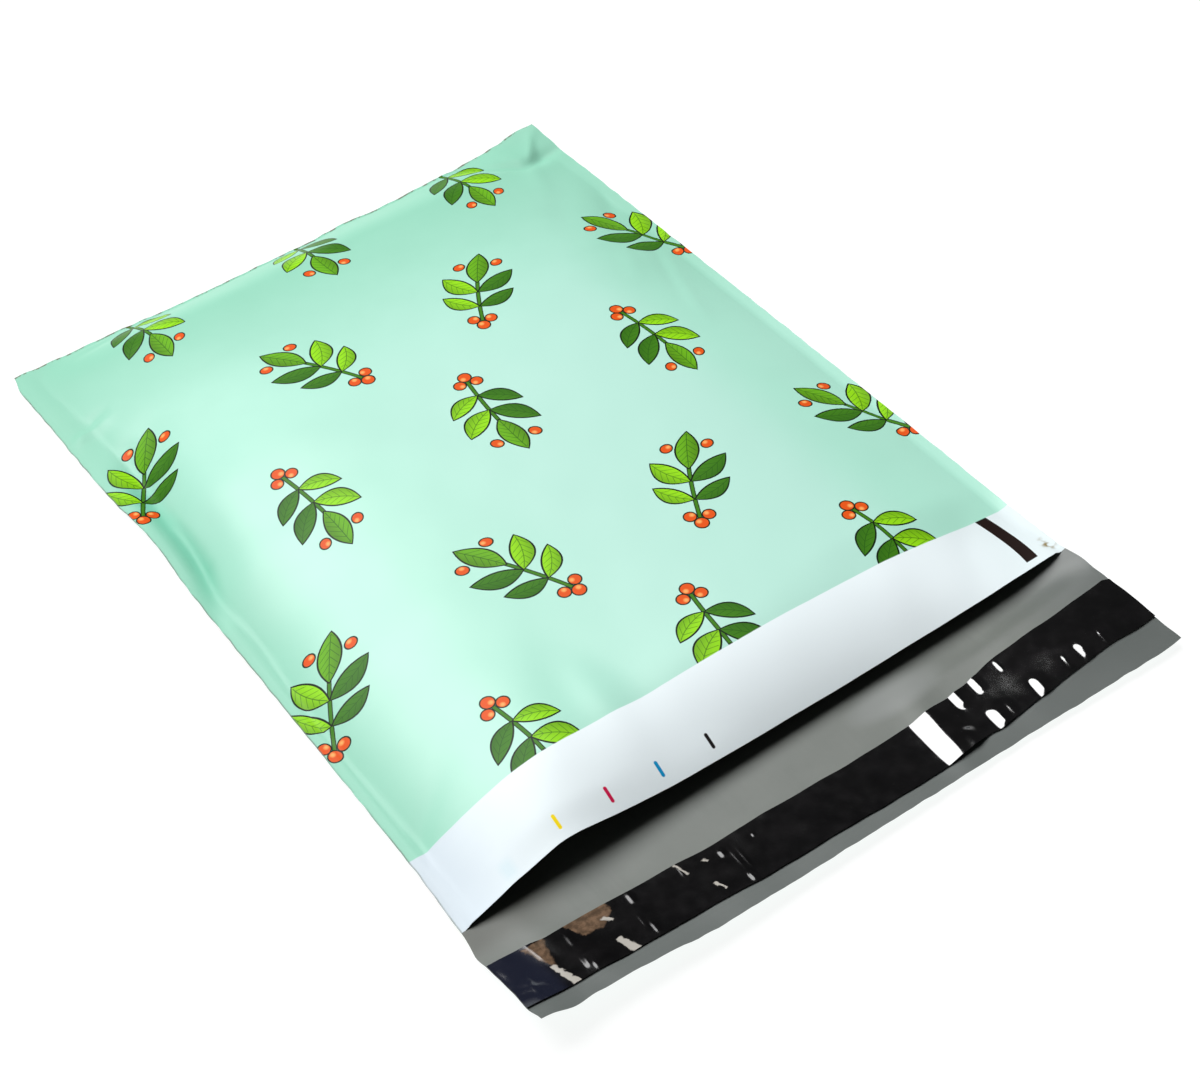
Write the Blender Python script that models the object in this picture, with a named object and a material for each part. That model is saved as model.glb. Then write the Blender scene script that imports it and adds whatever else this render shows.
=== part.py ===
"""Poly mailer bag, lying face up with a little air in it and its flap open.

One web of film is folded across the bottom and welded up both sides, so the
bag is a single thin-walled solid. The back panel runs on past the mouth as
the flap, which carries a strip of hot-melt adhesive under a release liner.

Frame: metres, +Z up, origin on the floor under the middle of the flat bag.
X runs across the bag, Y along it. The mouth and the flap are towards -Y and
the bottom fold is at +Y. "w" below is the distance from the flap's cut edge.
"""

import bpy

# Flat sizes of the folded web
WIDTH = 0.254  # across the side welds
BODY = 0.330  # bottom fold to the front panel's lip
FLAP = 0.051  # lip to the flap's cut edge
FILM = 0.0000635  # film thickness, 2.5 mil
SEAM = 0.0015  # trimmed side weld, both layers fused
FOLD = 0.0010  # depth of the pressed bottom fold

# How the bag lies. Heights of the side welds above the floor, at the flap's
# cut edge, the lip, half way up the body and the bottom fold.
LEFT_WELD = (0.0115, 0.0068, 0.0052, 0.0008)
RIGHT_WELD = (0.0056, 0.0070, 0.0046, 0.0050)
LIFT_SHARE = 0.45  # share of the width that curls up to each weld
FLAP_LIFT = 0.0035  # middle of the flap's cut edge above the floor

# Front panel's rise over the back one along the middle, from the bottom fold
# to the lip in equal steps.
PUFF = (0.0070, 0.0175, 0.0235, 0.0068)
FOLD_ROUND = 0.022  # length over which the bottom fold rounds up
DOME_POWER = 2.7  # 2 is a parabola across the width, more is flatter on top
DOME_SKEW = -0.16  # fuller towards the left weld
# The lip is kinked upwards near its left end, steeply towards the left weld
# and gently towards the middle, and the kink dies out up the panel.
KINK_X, KINK_RISE, KINK_LONG = -0.081, 0.0068, 0.075
KINK_LEFT, KINK_RIGHT = 0.032, 0.060

# Closure strips on the inside of the flap
LINER_FROM, LINER_WIDE, LINER_THICK = 0.0080, 0.0225, 0.00005
GLUE_FROM, GLUE_WIDE, GLUE_THICK = 0.0115, 0.0155, 0.00010
GLUE_INSET = 0.0015
GAP = 0.0003  # kept between touching pieces

# Mesh density
ACROSS = 22
ALONG = 20
ALONG_FOLD = 6
ALONG_FLAP = 6

HALF = WIDTH / 2
LENGTH = BODY + FLAP


def through(s, stations, values):
    """The smooth curve through four values."""
    total = 0.0
    for i, (a, value) in enumerate(zip(stations, values)):
        share = 1.0
        for j, b in enumerate(stations):
            if j != i:
                share *= (s - b) / (a - b)
        total += value * share
    return total


def weld_height(w, heights):
    return through(w, (0.0, FLAP, FLAP + BODY / 2, LENGTH), heights)


def base_height(x, w):
    """Middle of the film of the back panel and flap: flat on the floor along
    the bag's middle, curling up to each side weld."""
    t = (x + HALF) / WIDTH
    left = max(0.0, (LIFT_SHARE - t) / LIFT_SHARE) ** 2
    right = max(0.0, (t - 1 + LIFT_SHARE) / LIFT_SHARE) ** 2
    z = weld_height(w, LEFT_WELD) * left + weld_height(w, RIGHT_WELD) * right
    flap = max(0.0, 1 - w / FLAP) ** 1.5
    return z + FLAP_LIFT * flap * 4 * t * (1 - t)


def rise(x, w):
    """Front panel above the back one, zero at the welds and at the fold."""
    inner = HALF - SEAM
    t = min(1.0, abs(x) / inner)
    dome = (1 - t**DOME_POWER) * (1 + DOME_SKEW * x / HALF)
    up = (LENGTH - w) / BODY
    end = max(0.0, min(1.0, (LENGTH - FOLD - w) / FOLD_ROUND))
    height = through(up, (0.0, 1 / 3, 2 / 3, 1.0), PUFF) * (1 - (1 - end) ** 2)
    near = max(0.0, 1 - (w - FLAP) / KINK_LONG)
    side = max(0.0, 1 - ((x - KINK_X) / (KINK_LEFT if x < KINK_X else KINK_RIGHT)) ** 2)
    return height * dome + KINK_RISE * near**2 * side**2


def spaced(low, high, count):
    return [low + (high - low) * i / count for i in range(count + 1)]


COLUMNS = [-HALF] + spaced(-HALF + SEAM, HALF - SEAM, ACROSS) + [HALF]
BODY_ROWS = (
    spaced(FLAP, LENGTH - FOLD_ROUND - FOLD, ALONG)
    + spaced(LENGTH - FOLD_ROUND - FOLD, LENGTH - FOLD, ALONG_FOLD)[1:]
    + [LENGTH]
)
FLAP_ROWS = spaced(0.0, FLAP, ALONG_FLAP)


def new_object(name, points, faces, colour, roughness):
    mesh = bpy.data.meshes.new(name)
    mesh.from_pydata(points, [], faces)
    mesh.validate()
    obj = bpy.data.objects.new(name, mesh)
    bpy.context.scene.collection.objects.link(obj)
    material = bpy.data.materials.new(name)
    material.use_nodes = True
    shader = material.node_tree.nodes["Principled BSDF"]
    shader.inputs["Base Color"].default_value = (*colour, 1.0)
    shader.inputs["Roughness"].default_value = roughness
    shader.inputs["Metallic"].default_value = 0.0
    mesh.materials.append(material)
    mesh.shade_smooth()
    return obj


def cut(ring, turn=False, other=False):
    """A cell's two triangles. Every skin of the film is cut along the same
    diagonal, so that the skins keep the film's thickness where it twists."""
    a, b, c, d = ring
    pair = [(a, b, d), (b, c, d)] if other else [(a, b, c), (a, c, d)]
    return [tuple(reversed(three)) if turn else three for three in pair]


class Points:
    """Numbers each distinct point once."""

    def __init__(self):
        self.points = []

    def add(self, x, w, z):
        self.points.append((x, w - LENGTH / 2, z))
        return len(self.points) - 1


def film_body():
    """The folded and welded film as one thin-walled pocket with a flap."""
    p = Points()
    last = len(COLUMNS) - 1
    rows = len(BODY_ROWS) - 1  # the bottom fold's row
    deep = rows - 1  # where the inside ends
    t = FILM

    def lift(x, w):
        return base_height(x, w) + t

    # Middle of the two fused layers is lift(); one layer reaches t below it
    # and the front one t above it, plus the rise away from the welds.
    bottom = {
        (j, i): p.add(x, w, lift(x, w) - t)
        for j, w in enumerate(BODY_ROWS)
        for i, x in enumerate(COLUMNS)
    }
    top = {
        (j, i): p.add(x, w, lift(x, w) + t + rise(x, w))
        for j, w in enumerate(BODY_ROWS)
        for i, x in enumerate(COLUMNS)
    }
    middle = {
        (j, i): p.add(COLUMNS[i], w, lift(COLUMNS[i], w))
        for j, w in enumerate(BODY_ROWS)
        for i in (0, last)
    }
    # Inside surfaces share their points along both welds and at the fold.
    floor, roof = {}, {}
    for j, w in enumerate(BODY_ROWS[:rows]):
        for i in range(1, last):
            x = COLUMNS[i]
            floor[j, i] = p.add(x, w, lift(x, w))
            shut = i in (1, last - 1) or j == deep
            roof[j, i] = floor[j, i] if shut else p.add(x, w, lift(x, w) + rise(x, w))
    # The flap's own rows; its last row is the lip's row of the body.
    flap_top, flap_low = {}, {}
    for j, w in enumerate(FLAP_ROWS[:-1]):
        for i, x in enumerate(COLUMNS):
            flap_top[j, i] = p.add(x, w, lift(x, w))
            flap_low[j, i] = p.add(x, w, lift(x, w) - t)
    mouth = len(FLAP_ROWS) - 1
    for i in range(last + 1):
        flap_low[mouth, i] = bottom[0, i]
        flap_top[mouth, i] = middle[0, i] if i in (0, last) else floor[0, i]

    faces = []

    def skin(grid, j, i, turn):
        # The inside's floor and roof share three points of the cells in its two
        # far corners, so those are cut across the point that each has alone.
        ring = [grid[j, i], grid[j, i + 1], grid[j + 1, i + 1], grid[j + 1, i]]
        faces.extend(cut(ring, turn, other=(j, i) == (deep - 1, 1)))

    for j in range(rows):
        for i in range(last):
            skin(top, j, i, False)
            skin(bottom, j, i, True)
    for j in range(deep):
        for i in range(1, last - 1):
            skin(floor, j, i, False)
            skin(roof, j, i, True)
    for j in range(mouth):
        for i in range(last):
            skin(flap_top, j, i, False)
            skin(flap_low, j, i, True)
    # Cut edges: side welds, flap sides, flap's edge, bottom fold, lip
    for j in range(rows):
        for i, turn in ((0, False), (last, True)):
            for low, high in ((bottom, middle), (middle, top)):
                ring = [low[j, i], high[j, i], high[j + 1, i], low[j + 1, i]]
                faces.append(tuple(reversed(ring)) if turn else tuple(ring))
    for j in range(mouth):
        for i, turn in ((0, False), (last, True)):
            ring = [flap_low[j, i], flap_top[j, i], flap_top[j + 1, i], flap_low[j + 1, i]]
            faces.append(tuple(reversed(ring)) if turn else tuple(ring))
    for i in range(last):
        faces.append(
            (flap_low[0, i], flap_low[0, i + 1], flap_top[0, i + 1], flap_top[0, i])
        )
        ring = [bottom[rows, i], top[rows, i], top[rows, i + 1], bottom[rows, i + 1]]
        if i == 0:
            ring.insert(1, middle[rows, 0])
        if i == last - 1:
            ring.insert(len(ring) - 1, middle[rows, last])
        faces.append(tuple(ring))
        inner_a = middle[0, 0] if i == 0 else roof[0, i]
        inner_b = middle[0, last] if i == last - 1 else roof[0, i + 1]
        faces.append((inner_a, inner_b, top[0, i + 1], top[0, i]))
    return new_object("bag_film", p.points, faces, (0.62, 0.93, 0.82), 0.35)


def strip(name, start, wide, inset, low, thick, colour, roughness):
    """A flat strip that follows the flap's inside, low above the film."""
    p = Points()
    columns = [max(-HALF + inset, min(HALF - inset, x)) for x in COLUMNS]
    columns = sorted(set(columns))
    rows = spaced(start, start + wide, 3)
    under, over = {}, {}
    for j, w in enumerate(rows):
        for i, x in enumerate(columns):
            z = base_height(x, w) + FILM + low
            under[j, i] = p.add(x, w, z)
            over[j, i] = p.add(x, w, z + thick)
    faces = []
    last, deep = len(columns) - 1, len(rows) - 1
    for j in range(deep):
        for i in range(last):
            for grid, turn in ((over, False), (under, True)):
                ring = [grid[j, i], grid[j, i + 1], grid[j + 1, i + 1], grid[j + 1, i]]
                faces += cut(ring, turn)
    for j in range(deep):
        faces.append((under[j, 0], over[j, 0], over[j + 1, 0], under[j + 1, 0]))
        faces.append(
            (under[j, last], under[j + 1, last], over[j + 1, last], over[j, last])
        )
    for i in range(last):
        faces.append((under[0, i], under[0, i + 1], over[0, i + 1], over[0, i]))
        faces.append(
            (under[deep, i], over[deep, i], over[deep, i + 1], under[deep, i + 1])
        )
    return new_object(name, p.points, faces, colour, roughness)


for old in list(bpy.data.objects):
    bpy.data.objects.remove(old, do_unlink=True)

film = film_body()
glue = strip(
    "adhesive_strip",
    GLUE_FROM,
    GLUE_WIDE,
    GLUE_INSET,
    GAP,
    GLUE_THICK,
    (0.20, 0.16, 0.11),
    0.25,
)
liner = strip(
    "release_liner",
    LINER_FROM,
    LINER_WIDE,
    0.0,
    GAP + GLUE_THICK + GAP,
    LINER_THICK,
    (0.012, 0.012, 0.013),
    0.12,
)
glue.parent = film
liner.parent = film
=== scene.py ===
"""Looks of the poly mailer bag: the film, the adhesive and the release liner as
fine meshes with procedural materials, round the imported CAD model.

Lengths in the shape formulas are millimetres. x runs across the bag, and w is
the distance from the flap's cut edge along the film, as in the CAD model.
"""

import math

import bpy
import numpy as np
from mathutils import Matrix, Vector


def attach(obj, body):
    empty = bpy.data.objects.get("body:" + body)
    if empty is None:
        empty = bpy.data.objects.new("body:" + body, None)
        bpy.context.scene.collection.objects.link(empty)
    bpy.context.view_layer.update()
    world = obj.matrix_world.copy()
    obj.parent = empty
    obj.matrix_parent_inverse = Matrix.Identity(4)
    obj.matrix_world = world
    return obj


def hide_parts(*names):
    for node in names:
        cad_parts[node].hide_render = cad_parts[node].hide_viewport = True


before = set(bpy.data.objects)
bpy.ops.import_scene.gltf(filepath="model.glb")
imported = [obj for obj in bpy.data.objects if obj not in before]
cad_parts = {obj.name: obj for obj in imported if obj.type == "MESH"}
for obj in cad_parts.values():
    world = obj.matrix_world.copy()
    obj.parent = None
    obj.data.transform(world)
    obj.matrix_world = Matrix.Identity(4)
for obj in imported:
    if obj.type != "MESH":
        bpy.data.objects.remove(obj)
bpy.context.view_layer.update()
scene = bpy.context.scene
scene.view_settings.view_transform = "Standard"
scene.view_settings.look = "None"
scene.view_settings.exposure = 0.0
scene.view_settings.gamma = 1.0

# ---------------------------------------------------------------- shape

WIDTH, BODY, FLAP = 254.0, 330.0, 51.0
FILM, SEAM, FOLD = 0.0635, 1.5, 1.0
HALF, LENGTH = WIDTH / 2, BODY + FLAP
LIFT_SHARE = 0.45
PUFF = (6.5, 18.0, 19.5, 20.5)
FOLD_ROUND, DOME_POWER, CREST, SKEW = 22.0, 3.2, -0.06, -0.10
LIP_LONG = 40.0
BAND = 28.7  # unprinted white band at the mouth
LINER_THICK, GLUE_THICK, GLUE_INSET = 0.05, 0.10, 1.5


def curve(s, stations, values):
    """A smooth curve through a few stations, which never overshoots them."""
    k, v = np.asarray(stations, float), np.asarray(values, float)
    d = np.diff(v) / np.diff(k)
    both = d[:-1] * d[1:] > 0
    inner = 2 * d[:-1] * d[1:] / np.where(both, d[:-1] + d[1:], 1.0)
    m = np.concatenate([d[:1], np.where(both, inner, 0.0), d[-1:]])
    s = np.clip(s, k[0], k[-1])
    i = np.clip(np.searchsorted(k, s, side="right") - 1, 0, len(k) - 2)
    h = k[i + 1] - k[i]
    t = (s - k[i]) / h
    return (
        (1 + 2 * t) * (1 - t) ** 2 * v[i]
        + t * (1 - t) ** 2 * h * m[i]
        + t * t * (3 - 2 * t) * v[i + 1]
        + t * t * (t - 1) * h * m[i + 1]
    )


def through(s, stations, values):
    """The smooth curve through four values."""
    total = 0.0
    for i, (a, value) in enumerate(zip(stations, values)):
        share = 1.0
        for j, b in enumerate(stations):
            if j != i:
                share = share * (s - b) / (a - b)
        total = total + value * share
    return total


def step(s):
    s = np.clip(s, 0.0, 1.0)
    return s * s * (3 - 2 * s)


def crease(x, w, line, height, wide, sharp=False):
    """A ridge, or a valley if height is negative, along a line of points. It
    dies out towards both of the line's ends."""
    parts = [(*a, *b, math.dist(a, b)) for a, b in zip(line, line[1:])]
    total = sum(p[4] for p in parts)
    near, along, done = np.full(np.shape(x), 1e9), np.zeros(np.shape(x)), 0.0
    for x0, w0, x1, w1, long in parts:
        s = np.clip(((x - x0) * (x1 - x0) + (w - w0) * (w1 - w0)) / long**2, 0, 1)
        d = np.hypot(x - x0 - s * (x1 - x0), w - w0 - s * (w1 - w0))
        along = np.where(d < near, (done + s * long) / total, along)
        near = np.minimum(near, d)
        done += long
    end = np.sin(math.pi * np.clip(0.08 + 0.84 * along, 0, 1)) ** 0.8
    shape = np.exp(-near / wide) if sharp else np.exp(-((near / wide) ** 2))
    return height * end * shape


def waves(x, w, long, seed, count=7):
    """Low rolling unevenness, about 1 high, from waves in many directions."""
    rng = np.random.default_rng(seed)
    total = 0.0
    for _ in range(count):
        a, size, phase = rng.uniform(0, math.pi), rng.uniform(0.7, 1.5), rng.uniform(0, 7)
        total = total + np.sin(
            2 * math.pi * (x * math.cos(a) + w * math.sin(a)) / (long * size) + phase
        )
    return total / math.sqrt(count)


def left_weld(w):
    return curve(
        w,
        (0, 12, 25, 40, 52, 75, 110, 180, 225, 256, 290, 340, 381),
        (11.6, 9.6, 6.4, 4.2, 4.3, 5.6, 5.9, 5.7, 6.0, 7.0, 3.4, 1.4, 0.9),
    )


def right_weld(w):
    return curve(
        w,
        (0, 25, 51, 110, 200, 300, 355, 372, 381),
        (3.4, 5.4, 6.9, 5.4, 4.7, 3.9, 3.8, 5.6, 7.2),
    )


def back_height(x, w):
    """Underside of the back panel and flap above the floor."""
    t = (x + HALF) / WIDTH
    z = left_weld(w) * np.clip((LIFT_SHARE - t) / LIFT_SHARE, 0, None) ** 2
    # at the right end of the mouth the back panel hangs free of the lip
    free = 2.0 + 6.0 * step((w - 36) / 12) * step((96 - w) / 30)
    z = z + right_weld(w) * np.clip((t - 1 + LIFT_SHARE) / LIFT_SHARE, 0, None) ** free
    open_end = np.clip(1 - w / FLAP, 0, 1)
    z = z + open_end**2.2 * curve(
        x, (-127, -105, -80, -40, 0, 50, 100, 127), (0, 2.0, 3.7, 4.9, 4.1, 1.9, 0.5, 0)
    )
    z = z + 2.6 * step((-x - 110) / 17) * step((14 - w) / 14)  # turned-up corner
    z = z + 2.0 * np.exp(-(((x - 98) / 30) ** 2) - ((w - 21) / 13) ** 2)
    # the left weld stands up beside a dip in both panels
    dip = crease(x, w, [(-110, 312), (-115, 286), (-118, 262), (-117.5, 242), (-120, 226), (-124.5, 208)], -2.0, 4.2)
    z = np.maximum(z + dip, 0)
    # the far right corner is folded up along a line, with a sharp ridge on it
    z = z + crease(x, w, [(82, 379), (95, 367), (106, 359), (127, 363)], -1.8, 3.2)
    z = z + crease(x, w, [(107, 359), (117, 369), (127, 379)], 0.7, 2.6, True)
    z = np.maximum(z, 0)
    # folds across the flap, which the liner follows
    flap = step((FLAP + 4 - w) / 16)
    z = z + flap * crease(x, w, [(37, -6), (39, 18), (46, 42)], 0.55, 6.0)
    z = z + flap * crease(x, w, [(71, -4), (73, 20), (84, 40)], 0.12, 5.5)
    z = z + flap * crease(x, w, [(-96, -5), (-104, 22), (-112, 44)], 0.45, 6.0)
    return z + flap * open_end**0.5 * 0.10 * (1 + waves(x, w, 34, 3))


def lip_height(x):
    """Top of the front panel's lip above the floor."""
    return curve(
        x,
        (-127, -118, -113, -106, -100, -93, -86, -81, -75, -66, -53, -41, -28)
        + (-15, -5, 5, 26, 43, 54, 68, 79, 90, 101, 112, 120, 127),
        (4.4, 6.6, 8.0, 10.1, 11.0, 12.6, 13.8, 13.6, 12.6, 10.9, 9.05, 7.8, 7.25)
        + (6.65, 6.35, 6.25, 5.75, 5.8, 5.95, 5.85, 6.05, 6.2, 6.7, 6.95, 7.2, 7.1),
    )


def strip_wide(w):
    """Width of the flattened strip inside the left weld."""
    return curve(
        w,
        (51, 85, 125, 160, 192, 214, 234, 262, 300, 345, 381),
        (6.0, 4.5, 4.0, 4.5, 6.5, 5.0, 7.5, 9.5, 12.0, 10.0, 6.0),
    )


CREASES = (
    # line of (x, w), height, width, sharp
    ([(-100, 312), (-108, 290), (-111, 264), (-111, 244), (-114, 226), (-120, 208)], -1.1, 7.0, False),
    ([(-92, 306), (-96, 276), (-98, 244), (-104, 214)], 0.5, 8.0, False),
    ([(-127, 328), (-118, 331), (-107, 331)], 0.7, 2.4, False),
    ([(-127, 333), (-119, 335.5), (-108, 336)], -0.8, 2.4, False),
    ([(-100, 374), (-75, 376.5), (-45, 377)], -0.55, 2.2, False),
    ([(125, 381), (117, 370), (110, 360)], 0.45, 2.6, True),
    ([(125, 371), (119, 364), (112, 357)], -0.8, 3.4, False),
    ([(100, 380), (105, 370), (110, 360)], 0.6, 2.6, True),
    ([(84, 377), (96, 368), (108, 358)], 0.6, 3.2, False),
    ([(110, 360), (106, 350), (103, 338)], 0.5, 4.5, False),
    ([(122, 322), (113, 300), (104, 280)], -0.9, 4.5, False),
    ([(116, 306), (106, 286), (97, 264)], 0.55, 4.0, False),
    ([(120, 290), (112, 268), (104, 242)], -0.55, 3.4, False),
    ([(115, 270), (108, 248), (103, 224)], 0.4, 3.4, False),
    ([(112, 338), (100, 322), (90, 300)], -0.4, 6.0, False),
    ([(-64, 66), (-55, 94), (-47, 128)], -0.38, 8.0, False),
    ([(-30, 70), (-38, 96), (-43, 122)], -0.3, 7.0, False),
    ([(-46, 62), (-46, 84), (-45, 100)], 0.5, 6.0, False),
    ([(-127, 76), (-116, 88), (-102, 98)], -0.5, 4.0, False),
    ([(58, 52), (64, 72), (76, 96)], 0.35, 9.0, False),
    ([(92, 51), (98, 70), (110, 84)], -0.4, 6.0, False),
)


def front_gap(x, w):
    """Front panel above the back one: nothing at the welds and at the fold."""
    wide, right = strip_wide(w), 3.0
    half = (WIDTH - 2 * SEAM - wide - right) / 2
    t = np.clip((x - (wide - right) / 2) / half, -1, 1)
    t = np.abs(t - CREST * (1 - t * t))
    dome = (1 - t**DOME_POWER) * (1 + SKEW * x / HALF)
    up = (LENGTH - w) / BODY
    end = np.clip((LENGTH - FOLD - w) / FOLD_ROUND, 0, 1)
    z = through(up, (0.0, 1 / 3, 2 / 3, 1.0), PUFF) * (1 - (1 - end) ** 2) * dome
    weld = np.minimum(x + HALF - SEAM, HALF - SEAM - x)
    # towards the mouth the panel takes the shape of its lip
    near = np.clip(1 - (w - FLAP) / LIP_LONG, 0, 1) ** 2
    lip = (lip_height(x) - back_height(x, 0 * w + FLAP)) * step(weld / 3.0)
    z = z * (1 - near) + np.maximum(lip, 0.1) * near
    clear = step(weld / 4.0) * step((LENGTH - FOLD - w) / 5.0) * step((w - FLAP + 3) / 14)
    extra = 0.22 * waves(x, w, 95, 11) + 0.05 * waves(x, w, 31, 12)
    # a ridge runs back from the lip's highest point, with a dip beside it
    extra = extra + 2.2 * np.exp(-(((x + 80) / 24) ** 2) - ((w - 80) / 34) ** 2)
    extra = extra - 0.7 * np.exp(-(((x + 33) / 17) ** 2) - ((w - 82) / 28) ** 2)
    for line, height, size, sharp in CREASES:
        extra = extra + crease(x, w, line, height, size, sharp)
    z = z + clear * extra
    least = 0.10 * step(weld / 1.2) * step((LENGTH - FOLD - w) / 1.5)
    strip = 0.12 * np.sin(math.pi * np.clip((x + HALF - SEAM) / wide, 0, 1)) ** 2
    return np.maximum(z, 0) + least + strip * step((LENGTH - FOLD - w) / 8.0)


def shifts(x, w):
    """How far the film's outline stands off the flat rectangle: the puffed
    body draws its welds in, and the cuts aren't quite square."""
    left = curve(
        w,
        (0, 6, 16, 28, 39, 50, 64, 82, 150, 230, 256, 275, 300, 350, 368, 381),
        (-1.1, -1.8, -1.2, -1.2, -2.0, -0.8, -0.4, 0.0, 0.2, 0.3, 1.2, 0.6, -0.2, -0.3, -0.8, 1.1),
    )
    right = curve(
        w,
        (0, 8, 26, 44, 54, 72, 90, 120, 250, 340, 365, 381),
        (3.1, 2.4, 1.4, 0.8, -0.8, -1.1, -0.6, 0.0, 0.3, -0.1, -0.7, -2.2),
    )
    far = curve(
        x,
        (-127, -105, -80, -55, -35, -10, 10, 28, 45, 70, 95, 108, 118, 127),
        (-0.7, -0.8, -0.3, -1.1, -0.8, -0.2, 0.0, 1.6, 0.3, 0.5, -0.2, 0.4, 1.6, 0.2),
    )
    edge = curve(
        x,
        (-127, -116, -104, -92, -60, 60, 85, 102, 119, 127),
        (2.5, 0.9, -0.2, -0.6, 0.0, 0.0, -0.8, -1.3, -1.9, -1.4),
    )
    mouth = curve(x, (-127, -118, -109, -98, -84, 127), (-3.2, -2.4, -1.7, -0.7, 0, 0))
    hollow = curve(x, (-127, -117, -107, -96, -84, -74, -64, 127), (0, 0.5, 2.2, 2.5, 1.9, 0.8, 0, 0))
    dx = left * np.clip(1 - (x + HALF) / 60, 0, 1) ** 2
    dx = dx + right * np.clip(1 - (HALF - x) / 60, 0, 1) ** 2
    dw = far * np.clip(1 - (LENGTH - w) / 70, 0, 1) ** 2
    dw = dw + edge * np.clip(1 - w / 40, 0, 1) ** 2
    dw = dw + hollow * np.clip(1 - w / 9, 0, 1)
    dw = dw + mouth * np.clip(1 - np.abs(w - FLAP) / 40, 0, 1) ** 2
    rough = step(1 - w / 6) + step((w - LENGTH + 6) / 6) * 1.6
    dw = dw + rough * 0.12 * waves(x, 0 * x, 9, 51)
    rough = step(1 - (x + HALF) / 5) + step(1 - (HALF - x) / 5)
    return dx + rough * 0.12 * waves(w, 0 * w, 10, 52), dw


def placed(x, w, z):
    """Film coordinates to the object's frame, in metres."""
    dx, dw = shifts(x, w)
    return np.stack([x + dx, w + dw - LENGTH / 2, z], -1) / 1000


# ---------------------------------------------------------------- meshes


def spaced(*runs):
    """Stations from runs of (end, spacing) that start at the first number."""
    out = [runs[0]]
    for end, gap in runs[1:]:
        count = max(1, round((end - out[-1]) / gap))
        out += list(np.linspace(out[-1], end, count + 1)[1:])
    return np.array(out)


def new_mesh(name, points, faces, slots, maps, materials, angle=40):
    """An object from points and faces. slots gives each face's material, and
    maps is {UV map: a value for each face corner}."""
    mesh = bpy.data.meshes.new(name)
    mesh.from_pydata(points.tolist(), [], faces)
    for label, values in maps.items():
        layer = mesh.uv_layers.new(name=label)
        layer.uv.foreach_set("vector", np.asarray(values, np.float32).ravel())
    mesh.polygons.foreach_set("material_index", slots)
    mesh.shade_smooth()
    mesh.set_sharp_from_angle(angle=math.radians(angle))
    for m in materials:
        mesh.materials.append(m)
    obj = bpy.data.objects.new(name, mesh)
    scene.collection.objects.link(obj)
    return obj


class Sheets:
    """Collects grids of points that share some of their points."""

    def __init__(self):
        self.points, self.faces, self.slots, self.film, self.chart = [], [], [], [], []
        self.total = 0

    def add(self, xyz):
        """New points, as an array of their numbers in the same layout."""
        flat = xyz.reshape(-1, 3)
        self.points.append(flat)
        ids = np.arange(self.total, self.total + len(flat)).reshape(xyz.shape[:-1])
        self.total += len(flat)
        return ids

    def skin(self, ids, u, v, turn, slot, chart, skip=()):
        """Two triangles a cell, every skin cut along the same diagonal. u and
        v are the film's coordinates, and chart lays the skin in the bake map."""
        a, b, c, d = ids[:-1, :-1], ids[:-1, 1:], ids[1:, 1:], ids[1:, :-1]
        places = [np.stack([u, v], -1)[s] for s in (
            (slice(None, -1), slice(None, -1)),
            (slice(None, -1), slice(1, None)),
            (slice(1, None), slice(1, None)),
            (slice(1, None), slice(None, -1)),
        )]
        ring, where = np.stack([a, b, c, d], -1), np.stack(places, -2)
        for j in range(ring.shape[0]):
            for i in range(ring.shape[1]):
                other = (j, i) in skip
                picks = ((0, 1, 3), (1, 2, 3)) if other else ((0, 1, 2), (0, 2, 3))
                for pick in picks:
                    pick = pick[::-1] if turn else pick
                    self.face([ring[j, i, k] for k in pick], [where[j, i, k] for k in pick], slot, chart)

    def face(self, ids, places, slot, chart):
        self.faces.append([int(n) for n in ids])
        self.slots.append(slot)
        x0, y0, scale, mirror = chart
        for u, v in places:
            self.film.append((u, v))
            self.chart.append(
                (x0 + scale * ((HALF - u) if mirror else (u + HALF)), y0 + scale * v)
            )

    def wall(self, low, high, u, v, turn, slot, chart):
        """The thin wall between two matching runs of points."""
        for i in range(len(low) - 1):
            ring = [low[i], low[i + 1], high[i + 1], high[i]]
            at = [(u[i], v[i]), (u[i + 1], v[i + 1]), (u[i + 1], v[i + 1]), (u[i], v[i])]
            if turn:
                ring, at = ring[::-1], at[::-1]
            self.face(ring, at, slot, chart)


# Where each skin lies in the bake map: left, bottom, map units a millimetre
CHART = 1 / 800
OUTER_FRONT = (0.01, 0.01, CHART, False)
OUTER_BACK = (0.34, 0.01, CHART, True)
INNER_FLOOR = (0.67, 0.01, CHART, False)
INNER_ROOF = (0.34, 0.50, CHART, True)
RIMS = (0.01, 0.50, CHART, False)


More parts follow.
